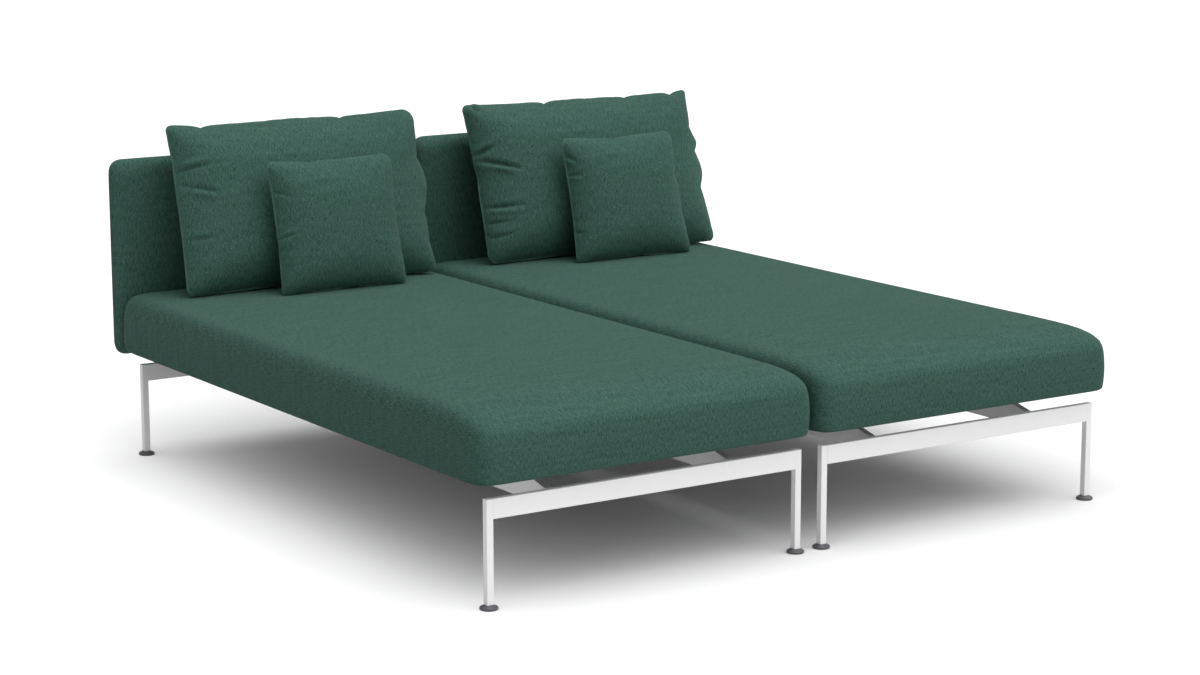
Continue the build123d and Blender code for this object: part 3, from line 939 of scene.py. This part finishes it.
greenCloth = {
    "Thread": 0.0012,
    "Streak": 0.0170,
    "Slub": 0.160,
    "Deep": (0.010, 0.042, 0.031, 1),
    "Pale": (0.080, 0.160, 0.132, 1),
    "bump": 0.5,
    "bumpHeight": 0.0006,
    "gloss": 0.05,
    "sheen": 0.11,
    "sheenRoughness": 0.3,
    "sheenTint": (0.75, 0.85, 0.82, 1),
}
grainFinishes = {
    "frame_paint": {
        "Grain": 900.0, "Blotch": 5.0, "Dark": (0.89, 0.88, 0.89, 1), "Light": (0.93, 0.92, 0.93, 1),
        "Rough Low": 0.38, "Rough High": 0.48, "bump": 0.12, "bumpHeight": 0.0002, "metal": 0.0,
    },
    "glide_plastic": {
        "Grain": 1400.0, "Blotch": 40.0, "Dark": (0.085, 0.085, 0.095, 1), "Light": (0.12, 0.12, 0.13, 1),
        "Rough Low": 0.35, "Rough High": 0.5, "bump": 0.15, "bumpHeight": 0.0002, "metal": 0.0,
    },
    "glide_steel": {
        "Grain": 600.0, "Blotch": 30.0, "Dark": (0.45, 0.45, 0.46, 1), "Light": (0.6, 0.6, 0.61, 1),
        "Rough Low": 0.28, "Rough High": 0.4, "bump": 0.1, "bumpHeight": 0.0001, "metal": 1.0,
    },
    "fastener_steel": {
        "Grain": 600.0, "Blotch": 30.0, "Dark": (0.42, 0.42, 0.43, 1), "Light": (0.58, 0.58, 0.59, 1),
        "Rough Low": 0.3, "Rough High": 0.45, "bump": 0.1, "bumpHeight": 0.0001, "metal": 1.0,
    },
    "insert_plastic": {
        "Grain": 1200.0, "Blotch": 30.0, "Dark": (0.03, 0.03, 0.03, 1), "Light": (0.05, 0.05, 0.05, 1),
        "Rough Low": 0.5, "Rough High": 0.65, "bump": 0.1, "bumpHeight": 0.0002, "metal": 0.0,
    },
    "deck_panel": {
        "Grain": 500.0, "Blotch": 8.0, "Dark": (0.10, 0.10, 0.10, 1), "Light": (0.13, 0.13, 0.13, 1),
        "Rough Low": 0.55, "Rough High": 0.7, "bump": 0.25, "bumpHeight": 0.0003, "metal": 0.0,
    },
    "back_board": {
        "Grain": 500.0, "Blotch": 8.0, "Dark": (0.10, 0.10, 0.10, 1), "Light": (0.13, 0.13, 0.13, 1),
        "Rough Low": 0.55, "Rough High": 0.7, "bump": 0.25, "bumpHeight": 0.0003, "metal": 0.0,
    },
    "foam": {
        "Grain": 700.0, "Blotch": 12.0, "Dark": (0.70, 0.66, 0.52, 1), "Light": (0.78, 0.74, 0.60, 1),
        "Rough Low": 0.9, "Rough High": 1.0, "bump": 0.5, "bumpHeight": 0.0008, "metal": 0.0,
    },
}
outdoorCloth = clothMaterial("outdoorCloth", greenCloth)
finishes = {slot: grainMaterial(slot, values) for slot, values in grainFinishes.items()}
slotOf = {part["node"]: part["material_slot"] for part in frame["record"]["subparts"]}
for node, piece in frame["nodes"].items():
    finish = finishes.get(slotOf[node], outdoorCloth)
    piece.data.materials.clear()
    piece.data.materials.append(finish)
for piece in softPieces.values():
    piece.data.materials.clear()
    piece.data.materials.append(outdoorCloth)
print("materials made")

standsFor = {
    "SeatCushion": (("seat_cover", "seat_foam"), "seat", seatCushion["fill"]),
    "Backrest": (("back_cover", "back_foam"), "frame", backrest["fill"]),
    "BackPillow": (("back_pillow",), "back_pillow", backPillow["fill"]),
    "SmallPillow": (("scatter_pillow",), "scatter_pillow", smallPillow["fill"]),
}
for side, unit in chaises.items():
    for word, (nodes, body, fill) in standsFor.items():
        piece = softPieces[f"{side}{word}"]
        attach(piece, "frame" if body == "frame" else f"{unit}_{body}")
        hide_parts(*(f"{unit}_{node}" for node in nodes))
print("soft pieces placed on their bodies")


# Floor, light and camera

studio = {
    "floorSize": 80.0,
    "floorColor": (0.93, 0.93, 0.93, 1),
    "floorLift": 0.02,
    "floorBounce": 0.62,
    "sky": 0.34,
    "sunPower": 3.34,
    "sunAngle": 82.0,
    "sunFrom": (0.26, -0.37, 1.0),
    "floorSunPower": 3.20,
    "floorSunAngle": 108.0,
    "floorSunFrom": (-0.20, -0.28, 1.0),
}
cameraSetup = {
    "place": (-3.4823, -5.2737, 1.5360),
    "yaw": 33.615,
    "pitch": 10.884,
    "roll": -0.0655,
    "lens": 83.88,
    "sensor": 36.0,
    "farEnd": 200.0,
}


def makeSun(name, values, floor, onFloor):
    # A broad sun that lights the floor alone, or all but the floor
    lamp = bpy.data.lights.new(name, "SUN")
    lamp.energy = values[f"{name}Power"]
    lamp.angle = math.radians(values[f"{name}Angle"])
    sun = bpy.data.objects.new(name, lamp)
    sun.rotation_mode = "QUATERNION"
    sun.rotation_quaternion = Vector(values[f"{name}From"]).to_track_quat("Z", "Y")
    lit = bpy.data.collections.new(name)
    lit.objects.link(floor)
    lit.collection_objects[0].light_linking.link_state = "INCLUDE" if onFloor else "EXCLUDE"
    sun.light_linking.receiver_collection = lit
    bpy.context.scene.collection.objects.link(sun)


def makeFloor(values):
    # A wide floor that the camera sees in floorColor, with floorLift added, while the light that it throws
    # back has floorBounce
    half = values["floorSize"] / 2
    corners = np.array([[-half, -half, 0], [half, -half, 0], [half, half, 0], [-half, half, 0]])
    floor = makePiece("floor", corners, np.array([[0, 1, 2, 3]]))
    material = bpy.data.materials.new("paleFloor")
    material.use_nodes = True
    tree = material.node_tree
    tree.nodes.clear()
    diffuse = tree.nodes.new("ShaderNodeBsdfDiffuse")
    glow = tree.nodes.new("ShaderNodeEmission")
    path = tree.nodes.new("ShaderNodeLightPath")
    seen = mathNode(tree, "MAXIMUM", path.outputs["Is Camera Ray"], path.outputs["Is Glossy Ray"])
    tree.links.new(mathNode(tree, "MULTIPLY", seen, values["floorLift"]), glow.inputs["Strength"])
    tone = addNode(tree, "ShaderNodeMix", data_type="RGBA")
    tree.links.new(path.outputs["Is Camera Ray"], tone.inputs["Factor"])
    tone.inputs["A"].default_value = (values["floorBounce"],) * 3 + (1,)
    tone.inputs["B"].default_value = values["floorColor"]
    tree.links.new(tone.outputs["Result"], diffuse.inputs["Color"])
    both = tree.nodes.new("ShaderNodeAddShader")
    tree.links.new(diffuse.outputs[0], both.inputs[0])
    tree.links.new(glow.outputs[0], both.inputs[1])
    output = tree.nodes.new("ShaderNodeOutputMaterial")
    tree.links.new(both.outputs[0], output.inputs["Surface"])
    floor.data.materials.append(material)
    return floor


def makeSky(values):
    # An even sky of strength sky, which the camera sees as white: strength = sky + seen * (1 - sky)
    world = bpy.data.worlds.new("studioSky")
    bpy.context.scene.world = world
    world.use_nodes = True
    tree = world.node_tree
    background = next(node for node in tree.nodes if node.type == "BACKGROUND")
    background.inputs["Color"].default_value = (1, 1, 1, 1)
    path = tree.nodes.new("ShaderNodeLightPath")
    seen = mathNode(tree, "MAXIMUM", path.outputs["Is Camera Ray"], path.outputs["Is Transmission Ray"])
    rise = mathNode(tree, "MULTIPLY", seen, 1.0 - values["sky"])
    tree.links.new(mathNode(tree, "ADD", rise, values["sky"]), background.inputs["Strength"])


def makeCamera(values):
    # Sight = (sin yaw * cos pitch, cos yaw * cos pitch, -sin pitch); right and up are turned round it by
    # the roll
    yaw, pitch, roll = (math.radians(values[key]) for key in ("yaw", "pitch", "roll"))
    sight = Vector((math.sin(yaw) * math.cos(pitch), math.cos(yaw) * math.cos(pitch), -math.sin(pitch)))
    right = Vector((math.cos(yaw), -math.sin(yaw), 0))
    up = right.cross(sight)
    right, up = (
        math.cos(roll) * right + math.sin(roll) * up,
        math.cos(roll) * up - math.sin(roll) * right,
    )
    data = bpy.data.cameras.new("camera")
    data.lens, data.sensor_width, data.sensor_fit = values["lens"], values["sensor"], "HORIZONTAL"
    data.clip_end = values["farEnd"]
    camera = bpy.data.objects.new("camera", data)
    turn = Matrix((right, up, -sight)).transposed().to_4x4()
    camera.matrix_world = Matrix.Translation(values["place"]) @ turn
    bpy.context.scene.collection.objects.link(camera)
    bpy.context.scene.camera = camera


# In the photo the object's shadows fall to the left and the floor's to the right, so each has its own sun
floor = makeFloor(studio)
makeSky(studio)
makeSun("sun", studio, floor, onFloor=False)
makeSun("floorSun", studio, floor, onFloor=True)
makeCamera(cameraSetup)
bpy.context.scene.view_settings.view_transform = "Standard"
print("studio and camera made")
